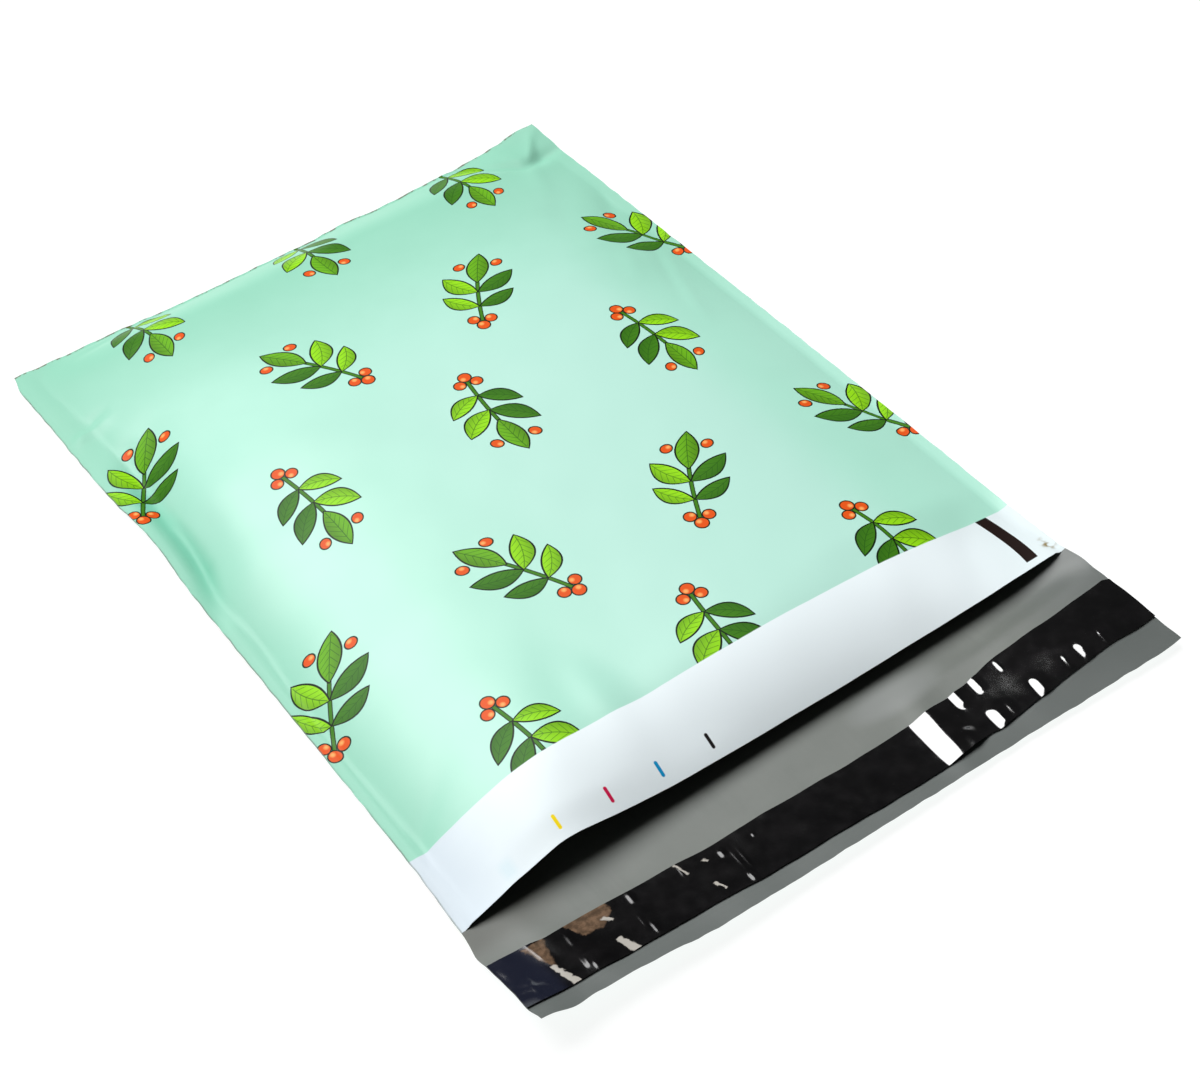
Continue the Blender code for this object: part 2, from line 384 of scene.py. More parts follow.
def make_film(outside, inside, rim):
    xs = spaced(-HALF, (-HALF + SEAM, 1.5), (-95, 1.35), (85, 2.5), (HALF - SEAM, 1.5), (HALF, 1.5))
    ws = spaced(FLAP, (84, 1.6), (330, 2.6), (LENGTH - FOLD, 1.5), (LENGTH, 1.0))
    fs = spaced(0.0, (FLAP, 1.6))
    last, rows = len(xs) - 1, len(ws) - 1
    deep = rows - 1
    s = Sheets()
    x, w = np.meshgrid(xs, ws)
    base = back_height(x, w)
    gap = front_gap(x, w)
    gap[:, (0, 1, last - 1, last)] = 0
    gap[deep:] = 0
    bottom = s.add(placed(x, w, base))
    top = s.add(placed(x, w, base + 2 * FILM + gap))
    edge = placed(x[:, (0, last)], w[:, (0, last)], base[:, (0, last)] + FILM)
    middle = s.add(edge)
    inner = (slice(0, rows), slice(1, last))
    floor = s.add(placed(x[inner], w[inner], base[inner] + FILM))
    roof = s.add(placed(x[inner], w[inner], base[inner] + FILM + gap[inner]))
    # the inside is shut along both welds and at the fold
    roof[:, 0], roof[:, -1], roof[-1] = floor[:, 0], floor[:, -1], floor[-1]
    web = 2 * LENGTH - w  # the outside print runs on round the fold
    s.skin(top, x, w, False, 0, OUTER_FRONT, skip={(deep - 1, 1)})
    s.skin(bottom, x, web, True, 0, (OUTER_BACK[0], OUTER_BACK[1] - LENGTH * CHART, CHART, True), skip={(deep - 1, 1)})
    own = {(deep - 1, 0)}
    s.skin(floor, x[inner], w[inner], False, 1, INNER_FLOOR, skip=own)
    s.skin(roof, x[inner], w[inner], True, 1, INNER_ROOF, skip=own)
    # flap: its last row is the lip's row of the back panel
    fx, fw = np.meshgrid(xs, fs)
    fbase = back_height(fx, fw)
    low = s.add(placed(fx[:-1], fw[:-1], fbase[:-1]))
    high = s.add(placed(fx[:-1], fw[:-1], fbase[:-1] + FILM))
    low = np.vstack([low, bottom[:1]])
    lip_row = np.concatenate([middle[:1, 0], floor[0], middle[:1, 1]])[None]
    high = np.vstack([high, lip_row])
    s.skin(high, fx, fw, False, 1, INNER_FLOOR)
    s.skin(low, fx, 2 * LENGTH - fw, True, 0, (OUTER_BACK[0], OUTER_BACK[1] - LENGTH * CHART, CHART, True))
    # cut edges
    for side, i, turn in ((0, 0, True), (1, last, False)):
        for a, b in ((bottom[:, i], middle[:, side]), (middle[:, side], top[:, i])):
            s.wall(a, b, x[:, i], w[:, i], turn, 2, RIMS)
        s.wall(low[:, i], high[:, i], fx[:, i], fw[:, i], turn, 2, RIMS)
    s.wall(low[0], high[0], xs, 0 * xs, False, 2, RIMS)
    lip_low = np.concatenate([middle[:1, 0], roof[0], middle[:1, 1]])
    s.wall(lip_low, top[0], xs, 0 * xs + FLAP, False, 2, RIMS)
    # pressed fold: its ends meet the welds' middle points
    for i in range(last):
        ring = [bottom[rows, i + 1], bottom[rows, i], top[rows, i], top[rows, i + 1]]
        at = [(xs[i + 1], LENGTH), (xs[i], LENGTH), (xs[i], LENGTH), (xs[i + 1], LENGTH)]
        if i == 0:
            ring.insert(2, middle[rows, 0])
            at.insert(2, (xs[0], LENGTH))
        if i == last - 1:
            ring.append(middle[rows, 1])
            at.append((xs[last], LENGTH))
        s.face(ring, at, 0, RIMS)
    obj = new_mesh(
        "mailer_film",
        np.concatenate(s.points),
        s.faces,
        s.slots,
        {"OFBake": s.chart, "Film": s.film},
        [outside, inside, rim],
        angle=40,
    )
    return obj


def make_strip(name, xs, ws, under, thick, material):
    """A thin strip over the flap. ws gives each column its run of w, under(x,
    w) the height of its underside, and thick its thickness."""
    x = np.repeat(xs[None, :], ws.shape[0], 0)
    low = under(x, ws)
    s = Sheets()
    a = s.add(placed(x, ws, low))
    b = s.add(placed(x, ws, low + thick))
    chart = (0.01, 0.02, 1 / 265, False)
    s.skin(b, x, ws, False, 0, chart)
    s.skin(a, x, ws, True, 0, (0.01, 0.30, 1 / 265, False))
    s.wall(a[0], b[0], x[0], ws[0], False, 0, (0.01, 0.60, 1 / 265, False))
    s.wall(a[-1], b[-1], x[-1], ws[-1], True, 0, (0.01, 0.60, 1 / 265, False))
    s.wall(a[:, 0], b[:, 0], x[:, 0], ws[:, 0], True, 0, (0.01, 0.60, 1 / 265, False))
    s.wall(a[:, -1], b[:, -1], x[:, -1], ws[:, -1], False, 0, (0.01, 0.60, 1 / 265, False))
    return new_mesh(
        name, np.concatenate(s.points), s.faces, s.slots, {"OFBake": s.chart, "Film": s.film}, [material], angle=60
    )


# Blisters of the liner: middle x and w, half width, half length, steepness of
# the side that faces left. Each falls away gently on its other side.
BLISTERS = (
    (37.6, 19.0, 4.3, 16.0, 0.21),
    (53.3, 26.5, 1.9, 5.0, 0.20),
    (62.5, 26.8, 1.2, 3.8, 0.19),
    (73.6, 27.6, 0.5, 2.2, 0.15),
    (44.6, 9.5, 2.5, 4.6, 0.20),
    (58.3, 11.2, 2.1, 4.6, 0.20),
    (64.2, 11.4, 1.0, 3.6, 0.19),
    (77.4, 12.2, 1.6, 4.2, 0.20),
    (98.0, 13.8, 1.3, 3.8, 0.20),
    (91.5, 14.4, 0.45, 2.6, 0.15),
    (107.4, 14.8, 0.45, 2.8, 0.15),
    # narrow ones of the left half
    (-79.2, 27.2, 0.8, 2.4, 0.13),
    (-80.2, 13.0, 0.6, 3.0, 0.17),
    (-81.6, 17.6, 0.4, 2.4, 0.14),
    (-46.2, 23.9, 0.8, 1.6, 0.16),
    (-43.6, 19.5, 0.4, 4.0, 0.12),
    (-41.5, 18.0, 0.35, 4.5, 0.12),
    (-44.8, 10.2, 0.8, 2.2, 0.20),
    (-33.6, 23.8, 0.4, 0.9, 0.16),
    (-103.2, 25.5, 0.7, 3.2, 0.13),
    (-104.3, 14.5, 0.9, 2.6, 0.16),
    (-102.4, 12.5, 0.6, 2.6, 0.16),
    (-121.8, 17.0, 0.6, 2.6, 0.15),
    (-122.0, 11.0, 0.6, 2.4, 0.15),
    (-60.4, 26.2, 0.35, 2.4, 0.13),
)


def crinkle(x, w):
    """Height of the liner's crinkles over the flap, never below zero."""
    z = 0.0 * x
    for xc, wc, wide, long, steep in BLISTERS:
        lean = xc + 0.10 * (w - wc)
        s = (x - lean) / wide
        up = step((s + 1) / 2)
        down = 1 - step((s - 1) / 2.6)
        end = np.exp(-(((w - wc) / long) ** 4))
        z = z + 2 * wide * steep * np.where(s < 1, up, down) * end
    rng = np.random.default_rng(5)
    for _ in range(34):
        xc, wc = rng.uniform(-118, 122), rng.uniform(6, 34)
        lean, long = rng.normal(0.15, 0.35), rng.uniform(4, 16)
        wide, tall = rng.uniform(1.6, 3.6), rng.uniform(0.01, 0.05)
        line = [(xc - lean * long, wc - long), (xc, wc), (xc + lean * long, wc + long)]
        z = z + crease(x, w, line, tall, wide)
    # the left end is creased twice and its tip droops
    z = z + crease(x, w, [(-114, 35), (-112.6, 22), (-109.5, 6)], 0.32, 1.6, True)
    z = z + crease(x, w, [(-126, 17), (-119, 13), (-116, 7)], 0.35, 2.0)
    z = z + 0.06 * (1 + waves(x, 0.4 * w, 30, 34))
    z = z + 0.008 * np.clip(34 - w, 0, None)  # the near edge stands off a little
    z = z + 0.22 * step((-x - 116) / 7)
    z = z - 0.42 * step((-x - 124.4) / 2.4) * np.exp(-(((w - 24.5) / 4.5) ** 4)) * 0.5
    return np.maximum(z, 0)


def liner_edges(x):
    low = curve(
        x,
        (-127, -102, -90, -60, -44, -10, 18, 35, 46, 53, 57, 66, 80, 95, 109, 127),
        (7.4, 9.2, 9.0, 8.2, 7.2, 6.6, 5.8, 5.8, 6.8, 7.6, 7.0, 7.9, 9.2, 10.4, 11.2, 10.8),
    )
    high = curve(
        x,
        (-127, -113, -107, -95, -79, -60, -45, -34, -3, 10, 35, 50, 65, 79, 104, 124, 127),
        (33.4, 32.5, 31.1, 31.2, 30.1, 29.6, 28.6, 28.8, 27.9, 27.3, 27.4, 28.0, 29.8, 31.5, 31.6, 32.3, 31.0),
    )
    ripple = 0.10 * waves(x, 0 * x, 11, 41)
    return low + ripple, high + 0.10 * waves(x, 0 * x, 14, 42)


# ---------------------------------------------------------------- materials


def linear(r, g, b):
    """A colour from its 0-255 screen values."""
    return tuple(
        (c / 12.92 if c <= 0.04045 else ((c + 0.055) / 1.055) ** 2.4)
        for c in (r / 255, g / 255, b / 255)
    )


class V:
    """A number in a node tree, so that a pattern reads as a formula."""

    def __init__(self, g, socket):
        self.g, self.socket = g, socket

    def __add__(self, o):
        return self.g.math("ADD", self, o)

    __radd__ = __add__

    def __sub__(self, o):
        return self.g.math("SUBTRACT", self, o)

    def __rsub__(self, o):
        return self.g.math("SUBTRACT", o, self)

    def __mul__(self, o):
        return self.g.math("MULTIPLY", self, o)

    __rmul__ = __mul__

    def __truediv__(self, o):
        return self.g.math("DIVIDE", self, o)

    def __abs__(self):
        return self.g.math("ABSOLUTE", self)

    def floor(self):
        return self.g.math("FLOOR", self)


class Graph:
    """Writes a material's nodes."""

    def __init__(self, name):
        self.material = bpy.data.materials.new(name)
        self.material.use_nodes = True
        self.tree = self.material.node_tree
        self.shader = self.tree.nodes["Principled BSDF"]

    def node(self, kind, **settings):
        n = self.tree.nodes.new(kind)
        for key, value in settings.items():
            setattr(n, key, value)
        return n

    def put(self, socket, value):
        if isinstance(value, V):
            self.tree.links.new(value.socket, socket)
        elif hasattr(value, "is_output"):
            self.tree.links.new(value, socket)
        elif isinstance(value, tuple) and len(value) == 3 and socket.type == "RGBA":
            socket.default_value = (*value, 1.0)
        else:
            socket.default_value = value

    def math(self, operation, *values, clamp=False):
        n = self.node("ShaderNodeMath", operation=operation, use_clamp=clamp)
        for socket, value in zip(n.inputs, values):
            self.put(socket, value)
        return V(self, n.outputs[0])

    def least(self, *values):
        total = values[0]
        for value in values[1:]:
            total = self.math("MINIMUM", total, value)
        return total

    def most(self, *values):
        total = values[0]
        for value in values[1:]:
            total = self.math("MAXIMUM", total, value)
        return total

    def clamped(self, value):
        return self.math("ADD", value, 0.0, clamp=True)

    def inside(self, distance, soft=0.12):
        """1 where distance is negative, with an edge soft millimetres wide."""
        return self.math("MULTIPLY_ADD", distance, -1 / soft, 0.5, clamp=True)

    def ramp(self, value, low, high):
        """0 below low and 1 above high."""
        n = self.node("ShaderNodeMapRange", interpolation_type="SMOOTHSTEP", clamp=True)
        self.put(n.inputs["Value"], value)
        n.inputs["From Min"].default_value = low
        n.inputs["From Max"].default_value = high
        return V(self, n.outputs["Result"])

    def mix(self, share, a, b, blend="MIX"):
        n = self.node("ShaderNodeMix", data_type="RGBA", blend_type=blend)
        self.put(n.inputs[0], share)
        self.put(n.inputs[6], a)
        self.put(n.inputs[7], b)
        return n.outputs[2]

    def film(self):
        """x and w on the film, in millimetres."""
        n = self.node("ShaderNodeUVMap", uv_map="Film")
        parts = self.node("ShaderNodeSeparateXYZ")
        self.tree.links.new(n.outputs["UV"], parts.inputs[0])
        return V(self, parts.outputs[0]), V(self, parts.outputs[1])

    def vector(self, x, y, z=0.0):
        n = self.node("ShaderNodeCombineXYZ")
        for socket, value in zip(n.inputs, (x, y, z)):
            self.put(socket, value)
        return n.outputs[0]

    def noise(self, vector, scale, detail=2.0, roughness=0.5, distortion=0.0):
        n = self.node("ShaderNodeTexNoise", noise_dimensions="3D")
        self.put(n.inputs["Vector"], vector)
        n.inputs["Scale"].default_value = scale
        n.inputs["Detail"].default_value = detail
        n.inputs["Roughness"].default_value = roughness
        n.inputs["Distortion"].default_value = distortion
        return V(self, n.outputs[0])

    def bump(self, height, distance, strength=1.0, after=None):
        n = self.node("ShaderNodeBump")
        n.inputs["Strength"].default_value = strength
        n.inputs["Distance"].default_value = distance
        self.put(n.inputs["Height"], height)
        if after is not None:
            self.put(n.inputs["Normal"], after)
        return n.outputs["Normal"]


OUTLINE = linear(16, 30, 10)
DARK_GREEN = linear(62, 122, 22)
MID_GREEN = linear(104, 172, 26)
LIME = linear(146, 216, 24)
VEIN = linear(34, 84, 14)
ORANGE = linear(222, 84, 22)
ORANGE_LIGHT = linear(246, 170, 96)


def leaf(g, colour, p, q, y0, angle, long, half, bow, fill):
    """Paints one pointed leaf over colour: it starts at (0, y0) and points
    angle away from straight up."""
    q = q - y0
    s = p * math.sin(angle) + q * math.cos(angle)
    n = p * math.cos(angle) - q * math.sin(angle)
    arch = s * (long - s) * (4 / long**2)
    n = n - arch * bow
    d = abs(n) - arch * half
    shade = g.mix(g.ramp(n, -half * 0.7, half * 0.9), fill, tuple(c * 0.62 for c in fill))
    rib = g.inside(abs(n) - 0.16)
    slant = (s + abs(n) * 1.15) / 2.9
    side = g.inside(abs(slant - slant.floor() - 0.5) * 2.9 - 0.16)
    veins = g.math("MULTIPLY", g.most(rib, side), g.inside(d + 0.75, 0.5))
    shade = g.mix(g.math("MULTIPLY", veins, 0.8), shade, VEIN)
    colour = g.mix(g.inside(d), colour, shade)
    return g.mix(g.inside(abs(d) - 0.34), colour, OUTLINE), d


def berry(g, colour, p, q, x0, y0, radius):
    p, q = p - x0, q - y0
    d = g.math("SQRT", p * p + q * q) - radius
    hx, hq = p + radius * 0.32, q - radius * 0.32
    light = g.math("SQRT", hx * hx + hq * hq) - radius * 0.34
    fill = g.mix(g.inside(light, 0.9), ORANGE, ORANGE_LIGHT)
    colour = g.mix(g.inside(d), colour, fill)
    return g.mix(g.inside(abs(d) - 0.26), colour, OUTLINE), d


def sprigs(g, ground, u, v, pitch_x=76.0, pitch_w=70.0):
    """A tossed print of leafy sprigs with orange berries: one to a cell, each
    row shifted and turned against the last."""
    row = ((v + 22.0) / pitch_w).floor()
    odd = g.math("MODULO", row, 2.0)
    q = (v + 22.0) - (row + 0.5) * pitch_w
    across = u + 150.0 + odd * (pitch_x * 0.5)
    column = (across / pitch_x).floor()
    p = across - (column + 0.5) * pitch_x
    flip = g.math("MODULO", column + row, 2.0)
    p = p * (1.0 - 2.0 * flip)
    turn = g.node("ShaderNodeVectorRotate", rotation_type="Z_AXIS")
    g.put(turn.inputs["Vector"], g.vector(p, q))
    g.put(turn.inputs["Angle"], 0.42 + odd * 2.55)
    parts = g.node("ShaderNodeSeparateXYZ")
    g.tree.links.new(turn.outputs[0], parts.inputs[0])
    p, q = V(g, parts.outputs[0]), V(g, parts.outputs[1])
    p = p - (q + 24.0) * (q + 24.0) * 0.0024 + 1.6
    colour = ground
    twig = g.most(abs(p) - 0.55, abs(q + 7.5) - 15.0)
    colour = g.mix(g.inside(twig - 0.34), colour, OUTLINE)
    ink = twig
    colour = g.mix(g.inside(twig), colour, DARK_GREEN)
    side = g.ramp(p, -0.05, 0.05)
    pair = g.mix(side, LIME, DARK_GREEN)
    # one formula paints both leaves of a pair, mirrored about the twig
    m = abs(p)
    for y0, angle, long, half in ((-13.0, 1.02, 16.5, 3.5), (-3.5, 0.86, 18.5, 4.1)):
        s = m * math.sin(angle) + (q - y0) * math.cos(angle)
        n = m * math.cos(angle) - (q - y0) * math.sin(angle)
        arch = s * (long - s) * (4 / long**2)
        n = n - arch * 1.3
        d = abs(n) - arch * half
        rib = g.inside(abs(n) - 0.15)
        slant = (s + abs(n) * 1.15) / 2.9
        lines = g.inside(abs(slant - slant.floor() - 0.5) * 2.9 - 0.15)
        veins = g.math("MULTIPLY", g.most(rib, lines), g.inside(d + 0.75, 0.5))
        shade = g.mix(g.math("MULTIPLY", g.ramp(n, -half * 0.8, half), 0.45), pair, VEIN)
        shade = g.mix(g.math("MULTIPLY", veins, 0.75), shade, VEIN)
        colour = g.mix(g.inside(d), colour, shade)
        colour = g.mix(g.inside(abs(d) - 0.34), colour, OUTLINE)
        ink = g.least(ink, d)
    colour, d = leaf(g, colour, p, q, 3.0, 0.0, 20.0, 4.4, 0.0, MID_GREEN)
    ink = g.least(ink, d)
    for across, x0, y0, radius in ((m, 7.6, 15.2, 2.3), (m, 3.4, -21.4, 2.4), (p, 0.0, -25.2, 2.6)):
        colour, d = berry(g, colour, across, q, x0, y0, radius)
        ink = g.least(ink, d)
    return colour, g.inside(ink - 0.34, 0.3)


MINT = (0.39, 0.725, 0.59)
# painted shade of the mint towards the edges
SHADED_MINT = (0.275, 0.60, 0.45)
# painted highlight of the mint in the middle
HIGHLIGHT_MINT = (0.455, 0.755, 0.65)
# painted shade of the mint in the dip beside the left weld
DIP_SHADE_MINT = (0.185, 0.54, 0.385)
WHITE = (0.84, 0.92, 0.945)


def outside_film():
    g = Graph("bag_film_outside")
    u, v = g.film()
    at = g.vector(u, v)
    tone = g.noise(at, 0.018, 3.0)
    mint = g.mix(g.ramp(tone, 0.35, 0.65), MINT, tuple(c * 1.025 for c in MINT))
    # painted shade: the mint is darker and deeper towards the left weld, the right weld and the fold
    wander = (g.noise(at, 0.035, 3.0, 0.6) - 0.5) * 26.0
    left_shade = g.ramp(u * -1.0 + wander * 0.4, 88.0, 124.0)
    right_shade = g.math("MULTIPLY", g.ramp(u + wander * 0.5, 66.0, 122.0), g.ramp(v, 190.0, 300.0))
    fold_shade = g.ramp(v + wander, 270.0, 376.0)
    edge_shade = g.most(left_shade * (g.ramp(v, 286.0, 344.0) * 0.28 + 0.72), right_shade * 0.80, fold_shade)
    # painted highlight: paler mint over the middle of the front panel
    middle = g.ramp(u, -66.0, 6.0) * g.ramp(u * -1.0, -100.0, -66.0) * g.ramp(v * -1.0, -330.0, -220.0)
    mint = g.mix(middle, mint, HIGHLIGHT_MINT)
    mint = g.mix(edge_shade, mint, SHADED_MINT)
    # painted shade, darkest along the dip beside the left weld
    dip = abs(u + 118.0 + g.most(234.0 - v, 0.0) * 0.28 + wander * 0.03)
    dip = g.ramp(dip, 7.0, 0.5) * g.ramp(v, 204.0, 236.0) * g.ramp(v * -1.0, -314.0, -282.0)
    mint = g.mix(dip * 0.9, mint, DIP_SHADE_MINT)
    printed, inked = sprigs(g, mint, u, v)
    edge = FLAP + BAND
    # painted shade: the white band is darker towards its left and right ends
    white = g.mix(left_shade, WHITE, (0.63, 0.71, 0.77))
    white = g.mix(g.ramp(u, 74.0, 122.0) * 0.8, white, (0.71, 0.80, 0.815))
    waver = g.noise(at, 0.06, 2.0) * 0.5
    band = g.inside((v - edge) + (waver - 0.25), 0.35)
    marks = white
    # printer's colour ticks and eye mark, on the front of the band only
    for x0, w0, ink in (
        (-84.8, 57.0, linear(250, 222, 20)),
        (-65.0, 56.8, linear(204, 22, 74)),
        (-45.2, 56.8, linear(18, 146, 200)),
        (-25.0, 56.8, linear(28, 24, 24)),
    ):
        a = abs(u - x0)
        b = g.most(abs(v - w0) - 2.0, 0.0)
        d = g.math("SQRT", a * a + b * b) - 0.62
        marks = g.mix(g.inside(d, 0.25), marks, ink)
    bow = (v - 65.0) * (v - 65.0) * 0.009
    eye = g.most(abs(u - 115.5 + bow) - 2.6, abs(v - 67.0) - 13.0)
    marks = g.mix(g.inside(eye, 0.2), marks, linear(34, 22, 20))
    smudge = g.math("MULTIPLY", g.inside(abs(u + 105.0) - 2.2, 2.5), g.inside(abs(v - 55.5) - 3.0, 3.0))
    marks = g.mix(g.math("MULTIPLY", smudge, 0.10), marks, linear(60, 190, 210))
    dirt_at = g.math("SQRT", (u - 124.6) * (u - 124.6) + (v - 57.0) * (v - 57.0) * 0.6)
    dirt = g.math(
        "MULTIPLY", g.ramp(dirt_at, 3.6, 1.0), g.ramp(g.noise(at, 0.40, 1.0), 0.42, 0.66)
    )
    marks = g.mix(dirt, marks, linear(142, 126, 82))
    colour = g.mix(band, printed, marks)
    # the left weld and the fold show a thin broken line of the grey inside
    broken = g.ramp(g.noise(at, 0.05, 3.0, 0.6), 0.30, 0.58)
    rim = g.ramp(u * -1.0, HALF - 0.6, HALF - 0.3)
    colour = g.mix(g.math("MULTIPLY", rim, broken * 0.7), colour, linear(112, 122, 112))
    fold = g.ramp(abs(v - LENGTH), 1.0, 0.5)
    rough_line = g.ramp(g.noise(at, 0.22, 4.0, 0.7), 0.46, 0.60)
    colour = g.mix(g.math("MULTIPLY", fold, rough_line * 0.85), colour, linear(104, 84, 70))
    g.put(g.shader.inputs["Base Color"], colour)
    rough = g.noise(at, 0.05, 4.0, 0.6)
    g.put(g.shader.inputs["Roughness"], g.math("MULTIPLY_ADD", rough, 0.12, 0.33))
    # the mint coat is glossier than the bare band and the motifs' inks
    # and than the rubbed film beside the weld and the fold
    rubbed = g.most(g.ramp(v, 300.0, 372.0), g.ramp(u * -1.0, 98.0, 121.0) * 0.75)
    dull = g.most(band, g.most(inked, rubbed))
    g.put(g.shader.inputs["Specular IOR Level"], g.math("MULTIPLY_ADD", dull, -0.36, 0.5))
    fine = g.noise(at, 0.9, 4.0, 0.6)
    broad = g.noise(at, 0.09, 3.0, 0.5)
    normal = g.bump(broad, 0.00035, 0.12)
    normal = g.bump(fine, 0.00002, 0.35, after=normal)
    g.put(g.shader.inputs["Normal"], normal)
    return g.material


def inside_film():
    g = Graph("bag_film_inside")
    u, v = g.film()
    at = g.vector(u, v)
    tone = g.noise(at, 0.03, 4.0, 0.6)
    grey = g.mix(g.ramp(tone, 0.3, 0.7), (0.142, 0.156, 0.142), (0.168, 0.182, 0.166))
    streak = g.noise(g.vector(u * 0.35, v * 0.02), 1.0, 3.0, 0.6)
    grey = g.mix(g.ramp(streak, 0.35, 0.75), grey, (0.155, 0.168, 0.154))
    # painted shade: darker outside the liner and towards the right end
    margin_shade = g.most(g.ramp(v * -1.0, -27.0, -9.0), g.ramp(u, 84.0, 124.0) * 0.8)
    grey = g.mix(margin_shade, grey, (0.112, 0.126, 0.120))
    # painted highlight: a paler patch before the right half of the mouth; painted shade: a darker left end
    a, b = (u - 40.0) * 0.045, (v - 41.0) * 0.12
    painted_highlight = g.ramp(a * a + b * b, 1.1, 0.05)
    grey = g.mix(painted_highlight, grey, (0.222, 0.236, 0.226))
    left_end_shade = g.ramp(u * -1.0, 84.0, 106.0) * g.ramp(v, 34.0, 45.0) * g.ramp(v * -1.0, -80.0, -60.0)
    grey = g.mix(left_end_shade * 0.85, grey, (0.104, 0.110, 0.096))
    g.put(g.shader.inputs["Base Color"], grey)
    rough = g.noise(at, 0.08, 4.0, 0.6)
    g.put(g.shader.inputs["Roughness"], g.math("MULTIPLY_ADD", rough, 0.14, 0.33))
    g.shader.inputs["IOR"].default_value = 1.5
    broad = g.noise(at, 0.07, 3.0, 0.5)
    fine = g.noise(at, 0.8, 3.0, 0.6)
    normal = g.bump(broad, 0.00045, 0.2)
    normal = g.bump(fine, 0.00002, 0.4, after=normal)
    g.put(g.shader.inputs["Normal"], normal)
    return g.material


def cut_edge():
    g = Graph("bag_film_cut_edge")
    u, v = g.film()
    tone = g.noise(g.vector(u, v), 0.3, 3.0)
    g.put(g.shader.inputs["Base Color"], g.mix(tone, linear(120, 122, 116), linear(196, 204, 200)))
    g.shader.inputs["Roughness"].default_value = 0.5
    return g.material


def patch(g, u, v, points, soft=0.5):
    """Negative inside a convex outline whose points run anticlockwise."""
    sides = []
    for (x0, w0), (x1, w1) in zip(points, points[1:] + points[:1]):
        long = math.dist((x0, w0), (x1, w1))
        nx, nw = (w1 - w0) / long, -(x1 - x0) / long
        sides.append(u * nx + v * nw - (x0 * nx + w0 * nw))
    return g.inside(g.most(*sides), soft)


def liner_film():
    g = Graph("release_liner")
    u, v = g.film()
    at = g.vector(u, v)
    wobble = g.noise(at, 0.45, 3.0, 0.6) - 0.5
    pu, pv = u + wobble * 2.2, v + wobble * 2.2
    tone = g.noise(at, 0.10, 4.0, 0.6)
    black = g.mix(g.ramp(tone, 0.4, 0.75), (0.0022, 0.0021, 0.0024), (0.0065, 0.0060, 0.0065))
    navy = g.math("MULTIPLY", g.ramp(pu * -1.0, 111.0, 116.0), 0.9)
    colour = g.mix(navy, black, (0.010, 0.012, 0.024))
    # painted reflections: brownish patches on the black liner near its left end
    brown_reflection = g.mix(g.ramp(g.noise(at, 0.35, 4.0, 0.6), 0.35, 0.7), linear(78, 62, 48), linear(118, 94, 74))
    for points in (
        [(-116.0, 31.5), (-111.8, 17.5), (-108.5, 31.5)],
        [(-101.5, 32.0), (-98.0, 23.5), (-91.5, 23.0), (-86.0, 27.0), (-86.0, 32.0)],
    ):
        colour = g.mix(patch(g, pu, pv, points, 0.7), colour, brown_reflection)
    # painted highlights: pale grey slivers over crinkles of the left half
    painted_highlight = linear(176, 172, 164)
    for points in (
        [(-113.2, 19.5), (-111.2, 7.5), (-108.2, 7.5), (-112.0, 19.5)],
        [(-92.0, 16.0), (-90.2, 7.5), (-86.6, 7.5), (-90.0, 16.2)],
        [(-90.6, 26.2), (-88.2, 23.2), (-87.2, 23.8), (-89.2, 26.6)],
        [(-60.8, 29.6), (-59.2, 23.6), (-58.4, 23.8), (-59.8, 29.8)],
        [(-52.4, 25.6), (-51.2, 24.0), (-50.4, 24.4), (-51.4, 25.9)],
        [(-55.4, 15.4), (-53.6, 11.0), (-52.8, 11.4), (-54.2, 15.6)],
    ):
        colour = g.mix(patch(g, pu, pv, points, 0.35), colour, painted_highlight)
    g.put(g.shader.inputs["Base Color"], colour)
    rough = g.noise(at, 0.22, 1.0, 0.5)
    # the left half is scuffed, the right end still has its gloss
    scuffed = g.ramp(u, 30.0, -10.0)
    dull = g.math("MULTIPLY_ADD", rough, 0.12, 0.04) + scuffed * 0.05
    g.put(g.shader.inputs["Roughness"], dull)
    g.shader.inputs["IOR"].default_value = 1.9
    g.put(g.shader.inputs["Specular IOR Level"], g.math("MULTIPLY_ADD", scuffed, -0.30, 0.5))
    # silicone release coat, mostly rubbed off the left half
    g.put(g.shader.inputs["Coat Weight"], g.math("MULTIPLY_ADD", scuffed, -0.62, 0.8))
    g.shader.inputs["Coat IOR"].default_value = 1.6
    g.put(g.shader.inputs["Coat Roughness"], g.math("MULTIPLY_ADD", scuffed, 0.08, 0.04))
    broad = g.noise(g.vector(u, v * 0.55), 0.22, 2.0, 0.5)
    normal = g.bump(broad, 0.0003, 0.07)
    g.put(g.shader.inputs["Normal"], normal)
    return g.material


def adhesive():
    g = Graph("adhesive_strip")
    u, v = g.film()
    tone = g.noise(g.vector(u, v), 0.35, 4.0, 0.6)
    g.put(g.shader.inputs["Base Color"], g.mix(tone, linear(150, 132, 96), linear(186, 170, 134)))
    g.put(g.shader.inputs["Roughness"], g.math("MULTIPLY_ADD", tone, 0.2, 0.15))
    g.put(g.shader.inputs["Normal"], g.bump(tone, 0.0001, 0.5))
    return g.material


film = make_film(outside_film(), inside_film(), cut_edge())
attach(film, "root")
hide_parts("bag_film")

lx = spaced(-HALF, (-30, 0.38), (32, 0.7), (HALF, 0.38))
low_edge, high_edge = liner_edges(lx)
share = np.linspace(0, 1, 40)[:, None]
lw = low_edge[None] * (1 - share) + high_edge[None] * share
liner = make_strip(
    "liner_strip",
    lx,
    lw,
    lambda x, w: back_height(x, w) + FILM + 0.30 + crinkle(x, w),
    LINER_THICK,
    liner_film(),
)
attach(liner, "root")
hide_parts("release_liner")

